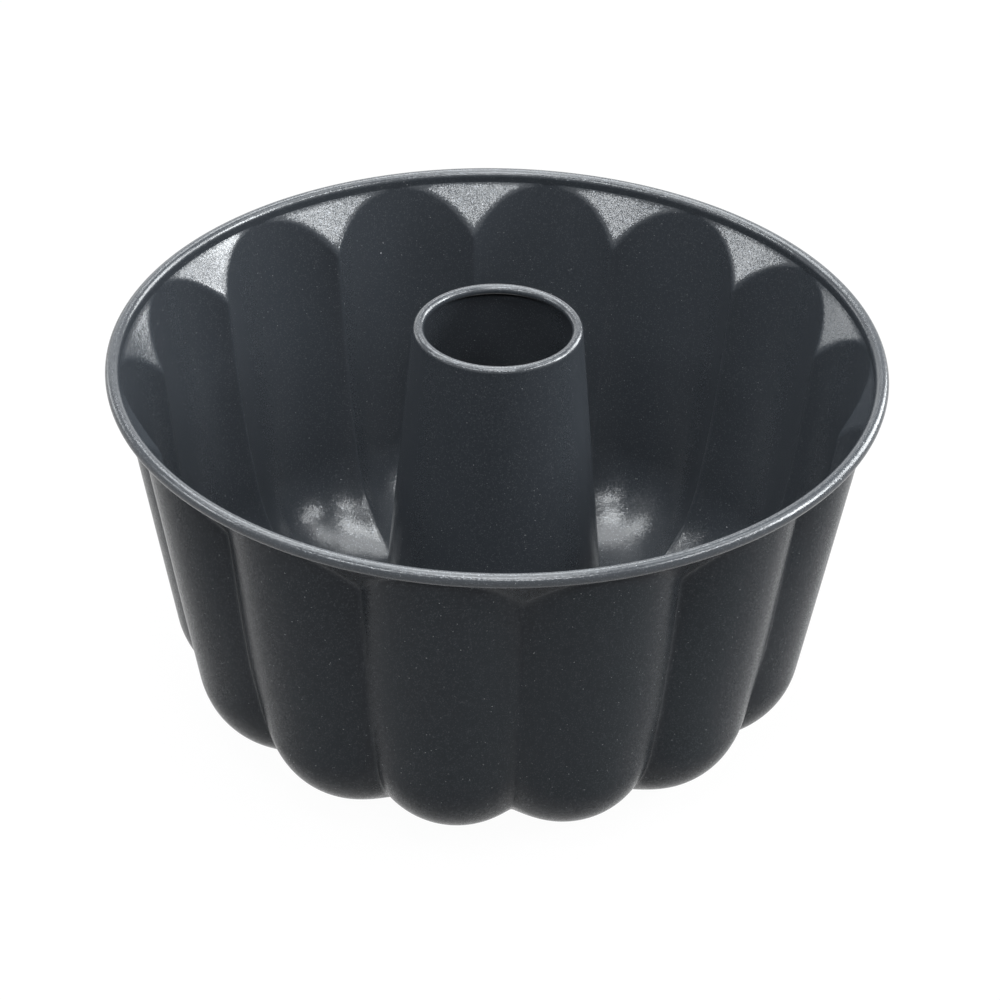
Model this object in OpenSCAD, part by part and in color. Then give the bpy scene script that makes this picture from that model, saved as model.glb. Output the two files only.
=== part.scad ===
// Ring-cake pan: a fluted sheet-steel shell with a rolled and wired rim, and a conical centre tube that is
// clinched into its floor. Millimetres. The pan stands on the plane z = 0 with its axis on Z, and the
// crest of one flute faces +X.

/* [Rim] */
// Diameter over the rolled rim
rim_d = 222; // [218:1:230]
// Thickness of the rolled rim
bead_d = 4; // [3.4:0.1:5]
// Height of the middle of the rolled rim above the base
rim_h = 110; // [100:1:120]
// Height of the plain band under the rolled rim
neck_h = 1.3; // [0.8:0.1:3]

/* [Sheet] */
// Thickness of the coated sheet
wall = 0.8; // [0.5:0.1:1]

/* [Flutes] */
// Number of flutes round the shell
flutes = 14; // [12:1:16]
// Radius of a flute and of its rounded bottom
flute_r = 31; // [29:0.5:33]
// Distance of that rounding's middle from the axis of the pan
flute_x = 63.3; // [61:0.1:66]
// Slope of the plain shoulder between two flutes, from the vertical
shoulder_slope = 31.5; // [28:0.5:36]

/* [Base] */
// Outer diameter of the flat ring that the pan stands on
base_d = 112; // [106:1:116]
// Radius of the turn from the flat ring up to the wall
base_turn = 18; // [15:0.5:20]

/* [Centre tube] */
// Height of the middle of the tube's rolled edge above that of the rim
tube_rise = 9.5; // [0:0.5:20]
// Diameter over the tube's rolled edge
tube_d = 48.3; // [44:0.1:54]
// Thickness of the tube's rolled edge
tube_bead_d = 2.7; // [2.4:0.1:3.4]
// Slope of the tube's wall, from the vertical
tube_slope = 5.2; // [4:0.1:6]

/* [Clinched seam at the tube's foot] */
// Height of the raised land of the floor that the seam grips
land_h = 1.8; // [1.4:0.1:2.4]
// Width of the raised land round the tube
land_w = 5.3; // [4.6:0.1:6]
// Width of the folds above and below the land
fold_w = 3; // [2:0.1:3.6]
// Play between the tube and the edge of its hole
play = 0.1; // [0.05:0.05:0.2]

/* [Hidden] */

$fn = 96;
coated_steel = [0.19, 0.20, 0.21];
bare_wire = [0.62, 0.63, 0.64];

// the rolled rim, and the plain band under it
bead_r = bead_d / 2;
bead_x = rim_d / 2 - bead_r;
neck_in = neck_h * tan(25);
neck_x = bead_x - bead_r + wall - neck_in;
neck_z = rim_h - neck_h;
rim_cut = 50;

// one flute: its crest line leaves the round bottom on a tangent and ends just inside the band
crest_in = 0.2;
crest = [neck_x - crest_in - flute_x, neck_z - flute_r];
flute_lean = tangent_lean(crest, flute_r);
flute_l = norm(crest) + flute_r;
half_step = 180 / flutes;

// the knee between shoulder and wall lies inside the flutes, a little below the point where they meet
knee_depth = 3;
knee_t = shoulder_l() + knee_depth;
knee = [neck_x - knee_t * sin(shoulder_slope), neck_z - knee_t * cos(shoulder_slope)];
turn_x = base_d / 2;
wall_lean = tangent_lean(knee - [turn_x, base_turn], base_turn);

// the centre tube and the seam at its foot
tube_h = rim_h + tube_rise;
tube_bead_r = tube_bead_d / 2;
tube_bead_x = tube_d / 2 - tube_bead_r;
tube_cut = 150;
land_top = land_h + wall;
fold_top = land_top + 2 * wall;
foot_r = tube_r(fold_top);
hole_r = foot_r + play;
land_r = hole_r + land_w;

// Lean from the vertical of a line that touches a circle of radius r about the origin and ends at p.
function tangent_lean(p, r) = atan2(p.x, p.y) - asin(r / norm(p));

// Radius of the tube's outer skin at height z.
function tube_r(z) = tube_d / 2 + (tube_h - z) * tan(tube_slope);

// Length of the shoulder's slope, from the band down to the point where two neighbouring flutes meet.
// It is the first root of the line's meeting with a flute, in the plane between the two flutes.
function shoulder_l() =
    let (
        start = [neck_x * cos(half_step) - flute_x, neck_x * sin(half_step), neck_z - flute_r],
        dir = [
            -sin(shoulder_slope) * cos(half_step),
            -sin(shoulder_slope) * sin(half_step),
            -cos(shoulder_slope)
        ],
        axis = [sin(flute_lean), 0, cos(flute_lean)],
        s = start * axis,
        d = dir * axis,
        a = 1 - d * d,
        b = start * dir - s * d,
        c = start * start - s * s - flute_r * flute_r
    )
    (-b - sqrt(b * b - a * c)) / a;

// Section of an edge rolled from a sheet: a ring of outer radius r about [x, z]. Its gap runs from angle
// `from` to angle `to`, both in the lower half.
module rolled_edge(x, z, r, from, to) {
    reach = 3 * r;
    translate([x, z])
        difference() {
            circle(r = r);
            circle(r = r - wall);
            polygon([
                [0, 0],
                reach * [cos(from), sin(from)],
                reach * [cos((from + to) / 2), sin((from + to) / 2)],
                reach * [cos(to), sin(to)]
            ]);
        }
}

// One flute as a solid, drawn in by g: a leaning cylinder with a round bottom. It is cut off at the band
// under the rim and at the planes where it meets its neighbours.
module flute(g) {
    r = flute_r - g;
    intersection() {
        translate([flute_x, 0, flute_r])
            rotate([0, flute_lean, 0])
                rotate_extrude() {
                    square([r, flute_l]);
                    intersection() {
                        circle(r = r);
                        translate([0, -2 * r])
                            square(2 * r);
                    }
                }
        translate([0, 0, -flute_r])
            linear_extrude(height = neck_z + flute_r)
                polygon([
                    [0, 0],
                    rim_d * [cos(half_step), -sin(half_step)],
                    rim_d * [cos(half_step), sin(half_step)]
                ]);
    }
}

// The plain round body that the flutes stand out from, drawn in by g and open upwards by `rise`.
module plain_body(g, rise) {
    r = base_turn - g;
    knee_up = (g - g / cos(wall_lean)) / (tan(shoulder_slope) - tan(wall_lean));
    knee_g = knee + [knee_up * tan(shoulder_slope) - g, knee_up];
    turn = [turn_x, base_turn];
    touch = turn + r * [cos(wall_lean), -sin(wall_lean)];
    top_x = bead_x - bead_r + wall - g;
    rotate_extrude() {
        intersection() {
            translate(turn)
                circle(r = r);
            polygon([turn, turn - [0, 2 * r], turn + [2 * r, -2 * r], turn + 2 * (touch - turn)]);
        }
        polygon([
            [0, land_h + g],
            [land_r + g, land_h + g],
            [land_r + g, g],
            [turn_x, g],
            turn,
            touch,
            knee_g,
            [neck_x - g, neck_z],
            [top_x, rim_h],
            [top_x, rim_h + rise],
            [0, rim_h + rise]
        ]);
    }
}

// The plain body with all its flutes, drawn in by g.
module fluted_body(g, rise) {
    plain_body(g, rise);
    for (i = [0 : flutes - 1])
        rotate([0, 0, i * 360 / flutes])
            flute(g);
}

// Pressed shell: fluted wall, flat base ring, raised land with the tube's hole, and the rolled rim.
module fluted_shell() {
    color(coated_steel) {
        difference() {
            fluted_body(0, 0);
            fluted_body(wall, bead_d);
            cylinder(h = rim_h, r = hole_r);
        }
        rotate_extrude()
            rolled_edge(bead_x, rim_h, bead_r, 180, 180 + rim_cut);
    }
}

// Wire that the rim is rolled round.
module rim_wire() {
    color(bare_wire)
        rotate_extrude()
            translate([bead_x, rim_h])
                circle(r = bead_r - wall);
}

// Conical tube, rolled inwards at its top and folded over and under the floor's land at its foot.
module centre_tube() {
    color(coated_steel)
        rotate_extrude() {
            rolled_edge(tube_bead_x, tube_h, tube_bead_r, 360 - tube_cut, 360);
            polygon([
                [tube_d / 2 - wall, tube_h],
                [foot_r - wall, fold_top],
                [foot_r - wall, land_h - wall],
                [foot_r + fold_w, land_h - wall],
                [foot_r + fold_w, land_h],
                [foot_r, land_h],
                [foot_r, land_top],
                [foot_r + fold_w, land_top],
                [foot_r + fold_w, fold_top],
                [foot_r, fold_top],
                [tube_d / 2, tube_h]
            ]);
        }
}

fluted_shell();
rim_wire();
centre_tube();
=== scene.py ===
"""Ring-cake pan of dark coated sheet metal, standing on a plain white floor.

The scene is in metres, in the frame of the CAD model: the pan stands on z = 0 with its axis on Z.
The sections of the sheet are drawn in millimetres, as radius and height.
"""
import math

import bpy
import numpy as np
from mathutils import Matrix, Vector


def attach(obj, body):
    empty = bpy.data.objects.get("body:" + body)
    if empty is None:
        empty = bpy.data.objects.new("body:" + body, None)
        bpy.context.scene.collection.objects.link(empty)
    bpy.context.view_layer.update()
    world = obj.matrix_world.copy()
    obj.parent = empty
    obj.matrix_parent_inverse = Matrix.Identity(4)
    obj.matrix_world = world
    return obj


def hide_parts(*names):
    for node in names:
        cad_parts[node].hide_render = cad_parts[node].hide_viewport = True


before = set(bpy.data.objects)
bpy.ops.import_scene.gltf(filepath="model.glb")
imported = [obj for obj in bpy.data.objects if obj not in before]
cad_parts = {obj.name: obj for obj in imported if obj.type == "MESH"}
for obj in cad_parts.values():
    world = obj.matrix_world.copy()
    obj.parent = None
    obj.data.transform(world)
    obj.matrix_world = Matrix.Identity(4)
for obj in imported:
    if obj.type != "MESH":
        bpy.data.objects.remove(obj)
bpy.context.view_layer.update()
scene = bpy.context.scene

# ---- Camera ----
# The photograph's viewpoint, found by fitting the rim, the tube's edge and the ridges between the
# flutes. It looks down into the pan from in front, a little to the left of a crest.
RIM_MIDDLE = Vector((0.0, 0.0, 0.110))
CAMERA_DISTANCE = 0.9133
CAMERA_AZIMUTH = math.radians(-4.77)
CAMERA_ELEVATION = math.radians(31.63)
CAMERA_ROLL = math.radians(1.14)
AIM = Vector((0.00152, 0.0, -0.04893))
SENSOR_WIDTH_MM = 36.0
FOCAL_LENGTH_MM = 115.46
NEAREST_SEEN = 0.05
FURTHEST_SEEN = 20.0

turn = Matrix.Rotation(CAMERA_AZIMUTH, 3, "Z")
eye = RIM_MIDDLE + turn @ Vector((
    0.0,
    -CAMERA_DISTANCE * math.cos(CAMERA_ELEVATION),
    CAMERA_DISTANCE * math.sin(CAMERA_ELEVATION),
))
forward = (RIM_MIDDLE + turn @ AIM - eye).normalized()
right = forward.cross(Vector((0.0, 0.0, 1.0))).normalized()
up = right.cross(forward)
rolled_right = math.cos(CAMERA_ROLL) * right + math.sin(CAMERA_ROLL) * up
rolled_up = math.cos(CAMERA_ROLL) * up - math.sin(CAMERA_ROLL) * right
camera = bpy.data.objects.new("camera", bpy.data.cameras.new("camera"))
camera.matrix_world = Matrix((
    (rolled_right.x, rolled_up.x, -forward.x, eye.x),
    (rolled_right.y, rolled_up.y, -forward.y, eye.y),
    (rolled_right.z, rolled_up.z, -forward.z, eye.z),
    (0.0, 0.0, 0.0, 1.0),
))
camera.data.sensor_width = SENSOR_WIDTH_MM
camera.data.lens = FOCAL_LENGTH_MM
camera.data.clip_start = NEAREST_SEEN
camera.data.clip_end = FURTHEST_SEEN
scene.collection.objects.link(camera)
scene.camera = camera


# ---- Fluted shell ----
# Pressed from one coated steel sheet: fourteen flutes that run down into round bottoms, plain
# shoulders between their tops, a flat floor with a raised land round the tube's hole, and a rim
# that is rolled outwards and down round a wire.
FLUTES = 14
WALL = 0.8
RIM_CENTRE = (109.0, 110.0)
RIM_R = 2.0
NECK = np.array((106.95, 108.3))
half_step = math.pi / FLUTES

# The inside has the coating's own colour and gloss. The outside is a darker, duller copy of it,
# which is painted shade for the outer walls, as they mirror a shadowed floor. The film, the mica in
# it and the gloss are given for each. The mica shows as fine specks, and a few flakes of metal as
# bright ones.
INSIDE_FILM = (0.0154, 0.0175, 0.0204, 1.0)
INSIDE_MICA = (0.057, 0.061, 0.067, 1.0)
INSIDE_GLOSS = 0.34
# painted shade: the outside's film and mica are darker and its gloss lower than the inside's, for
# the shadowed floor the outer walls mirror
OUTSIDE_FILM_PAINTED_SHADE = (0.0105, 0.0118, 0.0135, 1.0)
OUTSIDE_MICA_PAINTED_SHADE = (0.036, 0.039, 0.043, 1.0)
OUTSIDE_GLOSS_PAINTED_SHADE = 0.05
FLAKE_COLOUR = (0.17, 0.175, 0.18, 1.0)
GRAINS_PER_METRE = 4200.0
GRAIN_LEAN = 0.14
SPECKS_PER_METRE = 4600.0
MICA_SHARE = 0.08
MICA_METALLIC = 0.5
FLAKE_SHARE = 0.0009
FLAKE_LEAN = 0.8
PEEL_WAVES_PER_METRE = 1500.0
PEEL_HEIGHT = 0.000005
SATIN = 0.21


def dark_coating(name, film_colour, mica_colour, gloss):
    """Baked-on anthracite coating: satin, finely pebbled, with specks of mica and metal."""
    coating = bpy.data.materials.new(name)
    coating.use_nodes = True
    nodes, links = coating.node_tree.nodes, coating.node_tree.links
    shader = nodes["Principled BSDF"]
    place = nodes.new("ShaderNodeTexCoord")

    # the film sets in fine grains, each leaning a little its own way
    grain = nodes.new("ShaderNodeTexVoronoi")
    grain.inputs["Scale"].default_value = GRAINS_PER_METRE
    links.new(place.outputs["Object"], grain.inputs["Vector"])
    centred = nodes.new("ShaderNodeVectorMath")
    centred.operation = "SUBTRACT"
    centred.inputs[1].default_value = (0.5, 0.5, 0.5)
    links.new(grain.outputs["Color"], centred.inputs[0])

    # a few flakes of metal lie among the specks, and lean further
    speck = nodes.new("ShaderNodeTexVoronoi")
    speck.inputs["Scale"].default_value = SPECKS_PER_METRE
    links.new(place.outputs["Object"], speck.inputs["Vector"])
    pick = nodes.new("ShaderNodeSeparateColor")
    links.new(speck.outputs["Color"], pick.inputs["Color"])
    flake = nodes.new("ShaderNodeMath")
    flake.operation = "LESS_THAN"
    flake.inputs[1].default_value = FLAKE_SHARE
    links.new(pick.outputs["Red"], flake.inputs[0])
    amount = nodes.new("ShaderNodeMapRange")
    amount.inputs["To Min"].default_value = GRAIN_LEAN
    amount.inputs["To Max"].default_value = FLAKE_LEAN
    links.new(flake.outputs["Value"], amount.inputs["Value"])
    lean = nodes.new("ShaderNodeVectorMath")
    lean.operation = "SCALE"
    links.new(centred.outputs["Vector"], lean.inputs[0])
    links.new(amount.outputs["Result"], lean.inputs["Scale"])

    # the whole film has a slight orange peel
    peel = nodes.new("ShaderNodeTexNoise")
    peel.inputs["Scale"].default_value = PEEL_WAVES_PER_METRE
    peel.inputs["Detail"].default_value = 2.0
    links.new(place.outputs["Object"], peel.inputs["Vector"])
    film = nodes.new("ShaderNodeBump")
    film.inputs["Strength"].default_value = 1.0
    film.inputs["Distance"].default_value = PEEL_HEIGHT
    links.new(peel.outputs["Fac"], film.inputs["Height"])

    tilted = nodes.new("ShaderNodeVectorMath")
    tilted.operation = "ADD"
    links.new(film.outputs["Normal"], tilted.inputs[0])
    links.new(lean.outputs["Vector"], tilted.inputs[1])
    even = nodes.new("ShaderNodeVectorMath")
    even.operation = "NORMALIZE"
    links.new(tilted.outputs["Vector"], even.inputs[0])
    links.new(even.outputs["Vector"], shader.inputs["Normal"])

    # many more specks are mica, a little brighter than the film round them
    mica = nodes.new("ShaderNodeMath")
    mica.operation = "LESS_THAN"
    mica.inputs[1].default_value = MICA_SHARE
    links.new(pick.outputs["Red"], mica.inputs[0])
    speckled = nodes.new("ShaderNodeMix")
    speckled.data_type = "RGBA"
    speckled.inputs["A"].default_value = film_colour
    speckled.inputs["B"].default_value = mica_colour
    links.new(mica.outputs["Value"], speckled.inputs["Factor"])
    tint = nodes.new("ShaderNodeMix")
    tint.data_type = "RGBA"
    tint.inputs["B"].default_value = FLAKE_COLOUR
    links.new(flake.outputs["Value"], tint.inputs["Factor"])
    links.new(speckled.outputs["Result"], tint.inputs["A"])
    links.new(tint.outputs["Result"], shader.inputs["Base Color"])
    metal = nodes.new("ShaderNodeMath")
    metal.operation = "MULTIPLY"
    metal.inputs[1].default_value = MICA_METALLIC
    links.new(mica.outputs["Value"], metal.inputs[0])
    links.new(metal.outputs["Value"], shader.inputs["Metallic"])
    shader.inputs["Roughness"].default_value = SATIN
    shader.inputs["Specular IOR Level"].default_value = gloss
    return coating


def closed_grid(name, points, material):
    """A mesh that closes in both directions. Its points are (round the axis, along the section,
    xyz), in millimetres."""
    across, along = points.shape[:2]
    index = np.arange(across * along).reshape(across, along)
    ahead = np.roll(index, -1, axis=0)
    faces = np.stack(
        (index, ahead, np.roll(ahead, -1, axis=1), np.roll(index, -1, axis=1)), axis=-1
    ).reshape(-1, 4)
    mesh = bpy.data.meshes.new(name)
    mesh.from_pydata((points.reshape(-1, 3) / 1000.0).tolist(), [], faces.tolist())
    mesh.shade_smooth()
    mesh.set_sharp_from_angle(angle=math.radians(50))
    mesh.materials.append(material)
    piece = bpy.data.objects.new(name, mesh)
    scene.collection.objects.link(piece)
    return piece


def arc(centre, radius, start, end, steps):
    """Points on a circle in the section, from one angle to another in degrees."""
    angle = np.radians(np.linspace(start, end, steps + 1))
    return np.stack(
        (centre[0] + radius * np.cos(angle), centre[1] + radius * np.sin(angle)), axis=-1
    )


def line(start, end, steps):
    """Points on a straight line in the section."""
    return np.linspace(start, end, steps + 1)


def smooth_path(points, step):
    """A Catmull-Rom curve through the points, sampled about every `step`."""
    padded = np.vstack((2 * points[0] - points[1], points, 2 * points[-1] - points[-2]))
    out = []
    for a, b, c, d in zip(padded[:-3], padded[1:-2], padded[2:-1], padded[3:]):
        samples = max(2, int(np.linalg.norm(c - b) / step))
        t = np.linspace(0, 1, samples, endpoint=False)[:, None]
        bend = 2 * a - 5 * b + 4 * c - d + t * (3 * (b - c) + d - a)
        out.append(b + 0.5 * t * ((c - a) + t * bend))
    out.append(points[-1:])
    return np.vstack(out)


def pushed_out(path, distance):
    """The path moved outwards along its normals. It runs from the top of the wall to the floor."""
    along = np.gradient(path, axis=0)
    normal = np.stack((-along[:, 1], along[:, 0]), axis=-1)
    normal /= np.linalg.norm(normal, axis=1)[:, None]
    return path + distance * normal


# crest of a flute, inner skin: a straight line down to a round bottom
BALL_CENTRE = np.array((65.3, 29.0))
BALL_R = 28.2
BALL_END = -125.0
CREST_TOP = np.array((107.05, 108.5))
CREST_BEYOND = 3.0
reach = CREST_TOP - BALL_CENTRE
crest_lean = math.atan2(reach[0], reach[1]) - math.asin(BALL_R / np.linalg.norm(reach))
crest_end = CREST_TOP + CREST_BEYOND * np.array((math.sin(crest_lean), math.cos(crest_lean)))
ball = arc(BALL_CENTRE, BALL_R, -math.degrees(crest_lean), BALL_END, 120)
crest = np.vstack((line(crest_end, ball[0], 160)[:-1], ball))

# ridge between two flutes, inner skin
RIDGE_POINTS = np.array((
    (99.2, 112.0), (97.3, 94.5), (94.9, 71.0), (92.1, 50.0), (89.3, 36.0), (86.6, 25.0),
    (82.6, 15.6), (78.2, 10.3), (73.2, 5.9), (67.5, 2.4), (62.0, 1.2), (50.0, 3.0),
))
ridge = smooth_path(RIDGE_POINTS, 0.5)

# plain body between the flutes, inner skin: neck, shoulder, flank hidden in the flutes, turn, floor
SHOULDER_SLOPE = math.radians(35.0)
SHOULDER_LENGTH = 20.0
TURN_CENTRE = (56.0, 18.0)
TURN_R = 17.2
neck_top = (RIM_CENTRE[0] - RIM_R, RIM_CENTRE[1])
knee = NECK - SHOULDER_LENGTH * np.array((math.sin(SHOULDER_SLOPE), math.cos(SHOULDER_SLOPE)))
body = np.vstack((
    line(neck_top, NECK, 6)[:-1],
    line(NECK, knee, 100)[:-1],
    line(knee, (TURN_CENTRE[0] + TURN_R, TURN_CENTRE[1]), 80)[:-1],
    arc(TURN_CENTRE, TURN_R, 0.0, -90.0, 60)[:-1],
    line((56.0, WALL), (50.0, WALL), 4),
))

# each skin is found along rays from one point in the channel, close together towards the neck
POLE = np.array((56.0, 60.0))
RAYS = 230
RAY_CROWDING = 1.15
STRAIGHT_DOWN = -math.pi / 2
neck_ray = math.atan2(NECK[1] - POLE[1], NECK[0] - POLE[0])
spread = 1.0 - (1.0 - np.linspace(0.0, 1.0, RAYS)) ** RAY_CROWDING
rays = STRAIGHT_DOWN + (neck_ray - STRAIGHT_DOWN) * spread
ray_direction = np.stack((np.cos(rays), np.sin(rays)), axis=-1)

# one flute's azimuths, close together towards the ridges
STRIPS = 44
STRIP_CROWDING = 0.45
part = np.linspace(-1.0, 1.0, STRIPS + 1)[:-1]
azimuth = half_step * (part + STRIP_CROWDING * np.sin(math.pi * part) / math.pi)


def seen_from_pole(path):
    """Distance from the pole to the path, along each ray."""
    away = path - POLE
    angle = np.arctan2(away[:, 1], away[:, 0])
    order = np.argsort(angle)
    return np.interp(rays, angle[order], np.hypot(away[:, 0], away[:, 1])[order])


def soft_max(a, b, width):
    """The larger of a and b, with the corner between them rounded over `width`."""
    near = np.maximum(width - np.abs(a - b), 0.0)
    return np.maximum(a, b) + near * near / (4.0 * width)


# The ridges are rounded by never quite reaching the plane between two flutes (radians). The edge
# between shoulder and flute is tight at the neck and softens with the depth below it.
RIDGE_ROUND = 0.006
EDGE_SOFTENING = 0.25
TIGHTEST_EDGE = 0.15
SOFTEST_EDGE = 3.5


def wall_skin(outwards):
    """One flute's skin as (azimuth, ray, radius and height), pushed out from the inner one."""
    crest_line = POLE + seen_from_pole(pushed_out(crest, outwards))[:, None] * ray_direction
    ridge_line = POLE + seen_from_pole(pushed_out(ridge, outwards))[:, None] * ray_direction
    body_far = seen_from_pole(pushed_out(body, outwards))

    # a circular arc through the crest and both ridges, in the plane of the three points
    middle = np.stack((ridge_line[:, 0] * math.cos(half_step), ridge_line[:, 1]), axis=-1)
    sag = np.linalg.norm(crest_line - middle, axis=1)
    chord = ridge_line[:, 0] * math.sin(half_step)
    radius = (chord ** 2 + sag ** 2) / (2.0 * sag)
    opening = np.arctan2(chord, radius - sag)
    outward = (crest_line - middle) / sag[:, None]
    turn_by = opening[:, None] * np.linspace(0.0, 1.0, 60)
    rise = radius[:, None] * np.cos(turn_by) - (radius - sag)[:, None]
    x = middle[:, :1] + outward[:, :1] * rise
    y = radius[:, None] * np.sin(turn_by)
    z = middle[:, 1:] + outward[:, 1:] * rise
    angle, away = np.arctan2(y, x), np.hypot(x, y)

    wanted = half_step - np.hypot(half_step - np.abs(azimuth), RIDGE_ROUND)
    below_neck = NECK[1] - (POLE[1] + body_far * np.sin(rays))
    edge = np.clip(EDGE_SOFTENING * below_neck, TIGHTEST_EDGE, SOFTEST_EDGE)
    skin = np.empty((len(azimuth), len(rays), 2))
    for i, a in enumerate(wanted):
        flute_line = np.array([
            (np.interp(a, angle[k], away[k]), np.interp(a, angle[k], z[k]))
            for k in range(len(rays))
        ])
        far = soft_max(seen_from_pole(flute_line), body_far, edge)
        skin[i] = POLE + far[:, None] * ray_direction
    skin[..., 1] = np.maximum(skin[..., 1], WALL - outwards)
    return skin


inner = wall_skin(0.0)
outer = wall_skin(WALL)

# what is the same all round: the rolled rim, the floor, and the land with the hole's edge
RIM_EDGE = -130.0
rim_inside = np.vstack((((107.8, 109.4),), arc(RIM_CENTRE, RIM_R - WALL, 180.0, RIM_EDGE, 40)))
rim_outside = np.vstack((
    arc(RIM_CENTRE, RIM_R, RIM_EDGE, 180.0, 60),
    line(neck_top, (107.0, 108.45), 4)[1:],
))
floor_above = line((55.0, WALL), (41.0, WALL), 4)
land_above = np.array(((40.8, 0.8), (40.6, 0.9), (40.4, 2.4), (40.2, 2.6), (34.72, 2.6)))
land_below = np.array(((34.72, 1.8), (39.9, 1.8), (40.0, 1.7), (40.05, 0.1), (40.2, 0.0)))
floor_below = line((41.0, 0.0), (55.0, 0.0), 4)
section = np.array([
    np.vstack((
        outer[i], rim_inside, rim_outside, inner[i][::-1],
        floor_above, land_above, land_below, floor_below,
    ))
    for i in range(len(azimuth))
])
flutes = []
for n in range(FLUTES):
    a = azimuth + 2.0 * half_step * n
    flutes.append(np.stack((
        section[..., 0] * np.cos(a)[:, None],
        section[..., 0] * np.sin(a)[:, None],
        section[..., 1],
    ), axis=-1))
shell_coating = dark_coating("shell_coating", INSIDE_FILM, INSIDE_MICA, INSIDE_GLOSS)
shell = closed_grid("shell", np.vstack(flutes), shell_coating)

# the duller, darker coat of the outside (painted shade) begins at the sheet's two cut edges: in the
# rolled rim, at the hole
shell.data.materials.append(
    dark_coating("shell_back_coating_painted_shade", OUTSIDE_FILM_PAINTED_SHADE, OUTSIDE_MICA_PAINTED_SHADE, OUTSIDE_GLOSS_PAINTED_SHADE)
)
coat = np.zeros(section.shape[1], dtype=np.int32)
coat[:len(rays) + len(rim_inside)] = 1
coat[-len(land_below) - len(floor_below):] = 1
shell.data.polygons.foreach_set("material_index", np.tile(coat, FLUTES * len(azimuth)))
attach(shell, "root")
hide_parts("fluted_shell")

# ---- Rim wire ----
# Plain steel wire that the rim is rolled round. It shows only through the slit under the roll,
# and stays as the CAD model has it.
WIRE_STEEL = (0.35, 0.36, 0.37, 1.0)
DRAWN_FINISH = 0.4
wire_steel = bpy.data.materials.new("wire_steel")
wire_steel.use_nodes = True
wire_shader = wire_steel.node_tree.nodes["Principled BSDF"]
wire_shader.inputs["Base Color"].default_value = WIRE_STEEL
wire_shader.inputs["Metallic"].default_value = 1.0
wire_shader.inputs["Roughness"].default_value = DRAWN_FINISH
for material_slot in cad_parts["rim_wire"].material_slots:
    material_slot.material = wire_steel

# ---- Centre tube ----
# A conical tube of the same coated sheet, rolled inwards at its top. Its foot goes through the
# hole in the land, and is folded over and under the land to hold it.
TUBE_TOP = 119.3
TUBE_R = 24.15
TUBE_BEAD_R = 1.55
TUBE_SLOPE = math.tan(math.radians(5.2))
BEAD_EDGE = 210.0
FOLD_TOP = 4.2
FOLD_BOTTOM = 1.0
FOLD_WIDTH = 3.0
LAND_TOP = 2.6
LAND_BOTTOM = 1.8
ROUND_STEPS = 256

foot_r = TUBE_R + (TUBE_TOP - FOLD_TOP) * TUBE_SLOPE
fold_r = foot_r + FOLD_WIDTH
bead_centre = (TUBE_R - TUBE_BEAD_R, TUBE_TOP)
tube_section = np.vstack((
    line((TUBE_R, TUBE_TOP), (foot_r, FOLD_TOP), 40),
    np.array((
        (fold_r - 0.2, FOLD_TOP), (fold_r, FOLD_TOP - 0.2), (fold_r, LAND_TOP + 0.2),
        (fold_r - 0.1, LAND_TOP), (foot_r, LAND_TOP), (foot_r, LAND_BOTTOM), (fold_r, LAND_BOTTOM),
        (fold_r, FOLD_BOTTOM), (foot_r - WALL, FOLD_BOTTOM), (foot_r - WALL, FOLD_TOP),
    )),
    line((foot_r - WALL, FOLD_TOP), (TUBE_R - WALL, TUBE_TOP), 40)[1:],
    arc(bead_centre, TUBE_BEAD_R - WALL, 0.0, BEAD_EDGE, 24)[1:],
    arc(bead_centre, TUBE_BEAD_R, BEAD_EDGE, 0.0, 40)[:-1],
))
round_the_axis = np.linspace(0.0, 2.0 * math.pi, ROUND_STEPS + 1)[:-1]
tube_points = np.stack((
    np.outer(np.cos(round_the_axis), tube_section[:, 0]),
    np.outer(np.sin(round_the_axis), tube_section[:, 0]),
    np.outer(np.ones_like(round_the_axis), tube_section[:, 1]),
), axis=-1)
tube_coating = dark_coating("tube_coating", INSIDE_FILM, INSIDE_MICA, INSIDE_GLOSS)
tube = closed_grid("tube", tube_points, tube_coating)
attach(tube, "root")
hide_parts("centre_tube")


# ---- Floor ----
# A plain pale floor, a hair below the pan's base. The camera and the pan's gloss see it as almost
# white, as in a cut-out product picture, with a trace of the pan's shadow.
FLOOR_SIDE = 6.0
FLOOR_GAP = 0.0003
FLOOR_COLOUR = (0.4, 0.4, 0.4, 1.0)
FLOOR_MATT = 0.9
FLOOR_WHITE_SHARE = 0.97


def seen_directly(nodes, links, share):
    """A socket that is `share` for what the camera sees, mirrored and refracted rays among it,
    and 0 for soft light."""
    path_kind = nodes.new("ShaderNodeLightPath")
    total = path_kind.outputs["Is Camera Ray"]
    for kind in ("Is Glossy Ray", "Is Transmission Ray"):
        either = nodes.new("ShaderNodeMath")
        either.operation = "MAXIMUM"
        links.new(total, either.inputs[0])
        links.new(path_kind.outputs[kind], either.inputs[1])
        total = either.outputs["Value"]
    shared = nodes.new("ShaderNodeMath")
    shared.operation = "MULTIPLY"
    shared.inputs[1].default_value = share
    links.new(total, shared.inputs[0])
    return shared.outputs["Value"]


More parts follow.
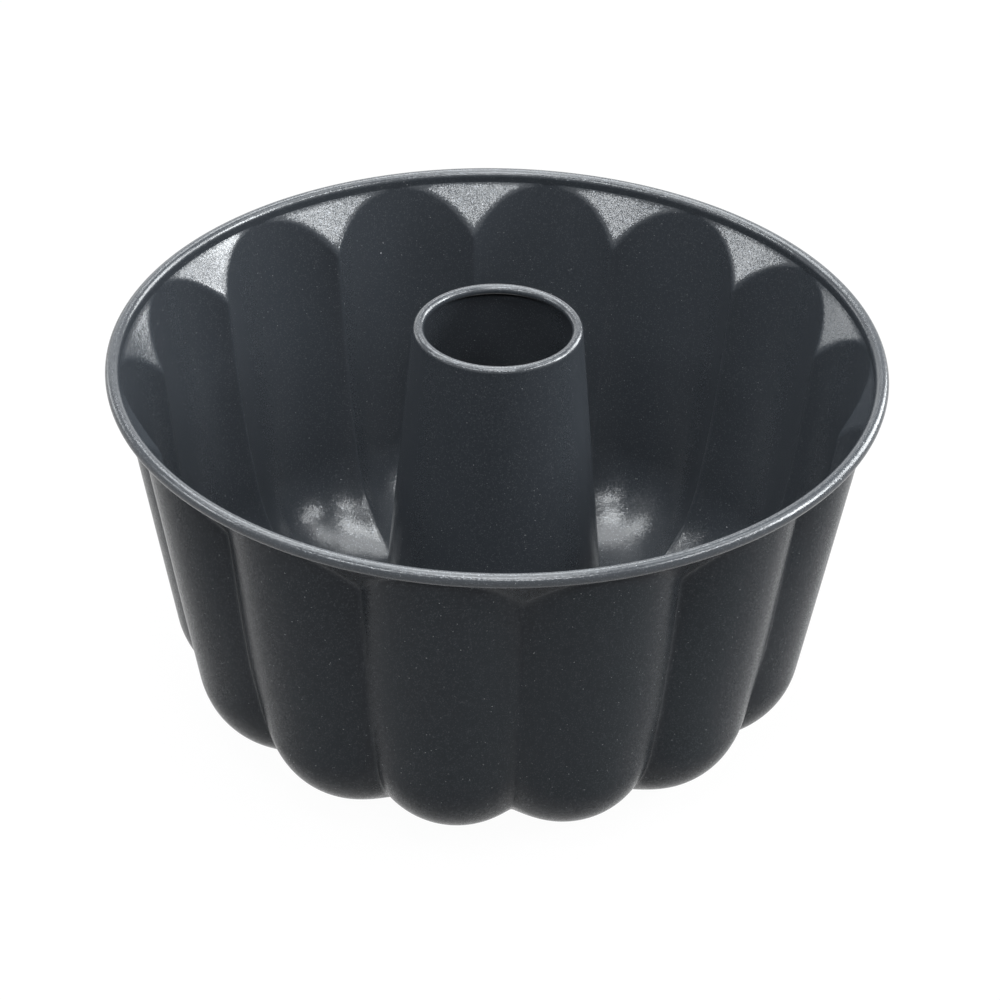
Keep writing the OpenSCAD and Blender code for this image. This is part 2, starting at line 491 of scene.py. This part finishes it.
bpy.ops.mesh.primitive_plane_add(size=FLOOR_SIDE, location=(0.0, 0.0, -FLOOR_GAP))
floor = bpy.context.object
floor.name = "floor"
floor_white = bpy.data.materials.new("floor_white")
floor_white.use_nodes = True
nodes, links = floor_white.node_tree.nodes, floor_white.node_tree.links
floor_shader = nodes["Principled BSDF"]
floor_shader.inputs["Base Color"].default_value = FLOOR_COLOUR
floor_shader.inputs["Roughness"].default_value = FLOOR_MATT
glow = nodes.new("ShaderNodeEmission")
glow.inputs["Color"].default_value = (1.0, 1.0, 1.0, 1.0)
glow.inputs["Strength"].default_value = 1.0
choose = nodes.new("ShaderNodeMixShader")
links.new(seen_directly(nodes, links, FLOOR_WHITE_SHARE), choose.inputs["Fac"])
links.new(floor_shader.outputs["BSDF"], choose.inputs[1])
links.new(glow.outputs["Emission"], choose.inputs[2])
links.new(choose.outputs["Shader"], nodes["Material Output"].inputs["Surface"])
floor.data.materials.append(floor_white)

# ---- World ----
# The room round the pan: white where it is seen, directly or in the gloss, and dim as a source of
# soft light, so that the soft boxes shape the pan.
ROOM_LIGHT = 0.05
world = bpy.data.worlds.new("studio")
scene.world = world
world.use_nodes = True
nodes, links = world.node_tree.nodes, world.node_tree.links
dim = nodes["Background"]
dim.inputs["Color"].default_value = (1.0, 1.0, 1.0, 1.0)
dim.inputs["Strength"].default_value = ROOM_LIGHT
white = nodes.new("ShaderNodeBackground")
white.inputs["Color"].default_value = (1.0, 1.0, 1.0, 1.0)
choose = nodes.new("ShaderNodeMixShader")
links.new(seen_directly(nodes, links, 1.0), choose.inputs["Fac"])
links.new(dim.outputs["Background"], choose.inputs[1])
links.new(white.outputs["Background"], choose.inputs[2])
links.new(choose.outputs["Shader"], nodes["World Output"].inputs["Surface"])

# ---- Lights ----
# Soft boxes round and above the pan, all aimed at its middle. The shoulders and the channel's
# floor mirror the ones at the sides and the back, and thin strips light the front.
DAYLIGHT = (0.955, 0.985, 1.0)
AIMED_AT = Vector((0.0, 0.0, 0.07))
SOFT_BOXES = (
    # name, azimuth and elevation in degrees, distance, width and height in metres, power in watts
    ("right_back_box", 30.0, 21.0, 1.3, 0.65, 0.55, 19.0),
    ("right_box", 356.0, 26.0, 1.3, 0.45, 0.48, 24.5),
    ("right_top_box", 5.0, 58.0, 1.3, 0.50, 0.50, 6.0),
    ("back_box", 98.0, 52.0, 1.3, 0.90, 0.50, 17.0),
    ("back_low_box", 92.0, 17.0, 1.4, 1.40, 0.50, 3.0),
    ("top_box", 120.0, 84.0, 1.3, 0.90, 0.90, 20.0),
    ("top_front_box", 264.0, 68.0, 1.3, 0.60, 0.40, 14.0),
    ("front_right_box", 326.0, 37.0, 1.3, 0.50, 0.16, 9.0),
    ("front_box", 274.0, 43.0, 1.3, 0.60, 0.13, 9.0),
    ("front_left_box", 226.0, 40.0, 1.3, 0.50, 0.14, 7.5),
    ("left_box", 178.0, 28.0, 1.3, 0.50, 0.18, 6.5),
    ("left_top_box", 170.0, 57.0, 1.3, 0.50, 0.50, 8.5),
    ("low_left_box", 136.0, 12.0, 1.3, 0.45, 0.35, 2.0),
)
for name, azimuth_deg, elevation_deg, distance, width, height, power in SOFT_BOXES:
    a, e = math.radians(azimuth_deg), math.radians(elevation_deg)
    towards_box = Vector((math.cos(a) * math.cos(e), math.sin(a) * math.cos(e), math.sin(e)))
    light = bpy.data.lights.new(name, "AREA")
    light.shape = "RECTANGLE"
    light.size, light.size_y = width, height
    light.energy = power
    light.color = DAYLIGHT
    box = bpy.data.objects.new(name, light)
    box.location = AIMED_AT + distance * towards_box
    box.rotation_euler = (-towards_box).to_track_quat("-Z", "Y").to_euler()
    scene.collection.objects.link(box)

# ---- View ----
# Colours go to the picture as they are.
scene.view_settings.view_transform = "Standard"
